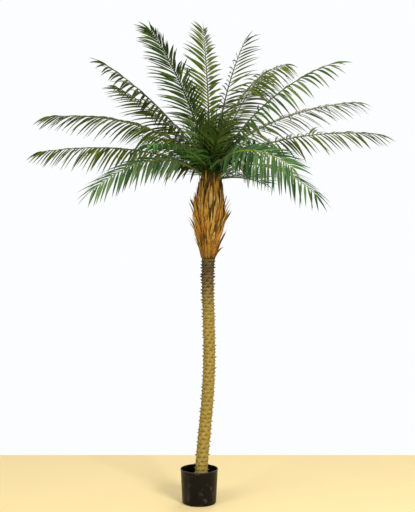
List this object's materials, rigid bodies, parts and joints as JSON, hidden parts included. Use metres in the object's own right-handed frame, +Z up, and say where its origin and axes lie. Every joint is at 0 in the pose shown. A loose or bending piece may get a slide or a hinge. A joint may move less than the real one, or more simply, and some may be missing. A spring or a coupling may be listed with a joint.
{
  "type": "artificial phoenix palm in a pot",
  "caption": "Tall artificial palm: feather fronds over a spindle of fibre husk on a slim studded trunk, set in a plain round black pot",
  "frame": {"origin": "Centre of the pot's flat underside, on the floor", "axes": "+Z up along the trunk, +X to the right and +Y away from the viewer as the palm is pictured"},
  "size_m": [2.0753, 1.8583, 2.8385],
  "materials": {
    "pot": "near-black thin plastic with a slight gloss",
    "fill": "rough dark cement",
    "trunk": "khaki studded bark, dark brown near the top",
    "husk": "ochre and brown dry fibre strips",
    "heart": "dark green stem bases",
    "frond": "satin green moulded leaflets on yellowish ribs"
  },
  "bodies": {
    "root": {"frond_back_low": "frond", "frond_back_right": "frond", "frond_back_right_low": "frond", "frond_back_right_upper": "frond", "frond_crown": "frond", "frond_front_rising": "frond", "frond_left_back_low": "frond", "frond_left_back_rising": "frond", "frond_left_back_short": "frond", "frond_left_front": "frond", "frond_left_front_drooping": "frond", "frond_left_level": "frond", "frond_left_low": "frond", "frond_left_rising": "frond", "frond_left_upper": "frond", "frond_right_back": "frond", "frond_right_front": "frond", "frond_right_front_drooping": "frond", "frond_right_level": "frond", "frond_right_rising": "frond", "frond_right_upper": "frond", "heart": "heart", "husk_core": "husk", "husk_tier_1": "husk", "husk_tier_2": "husk", "husk_tier_3": "husk", "husk_tier_4": "husk", "husk_tier_5": "husk", "husk_tier_6": "husk", "pot": "pot", "pot_fill": "fill", "trunk": "trunk"}
  },
  "joints": []
}
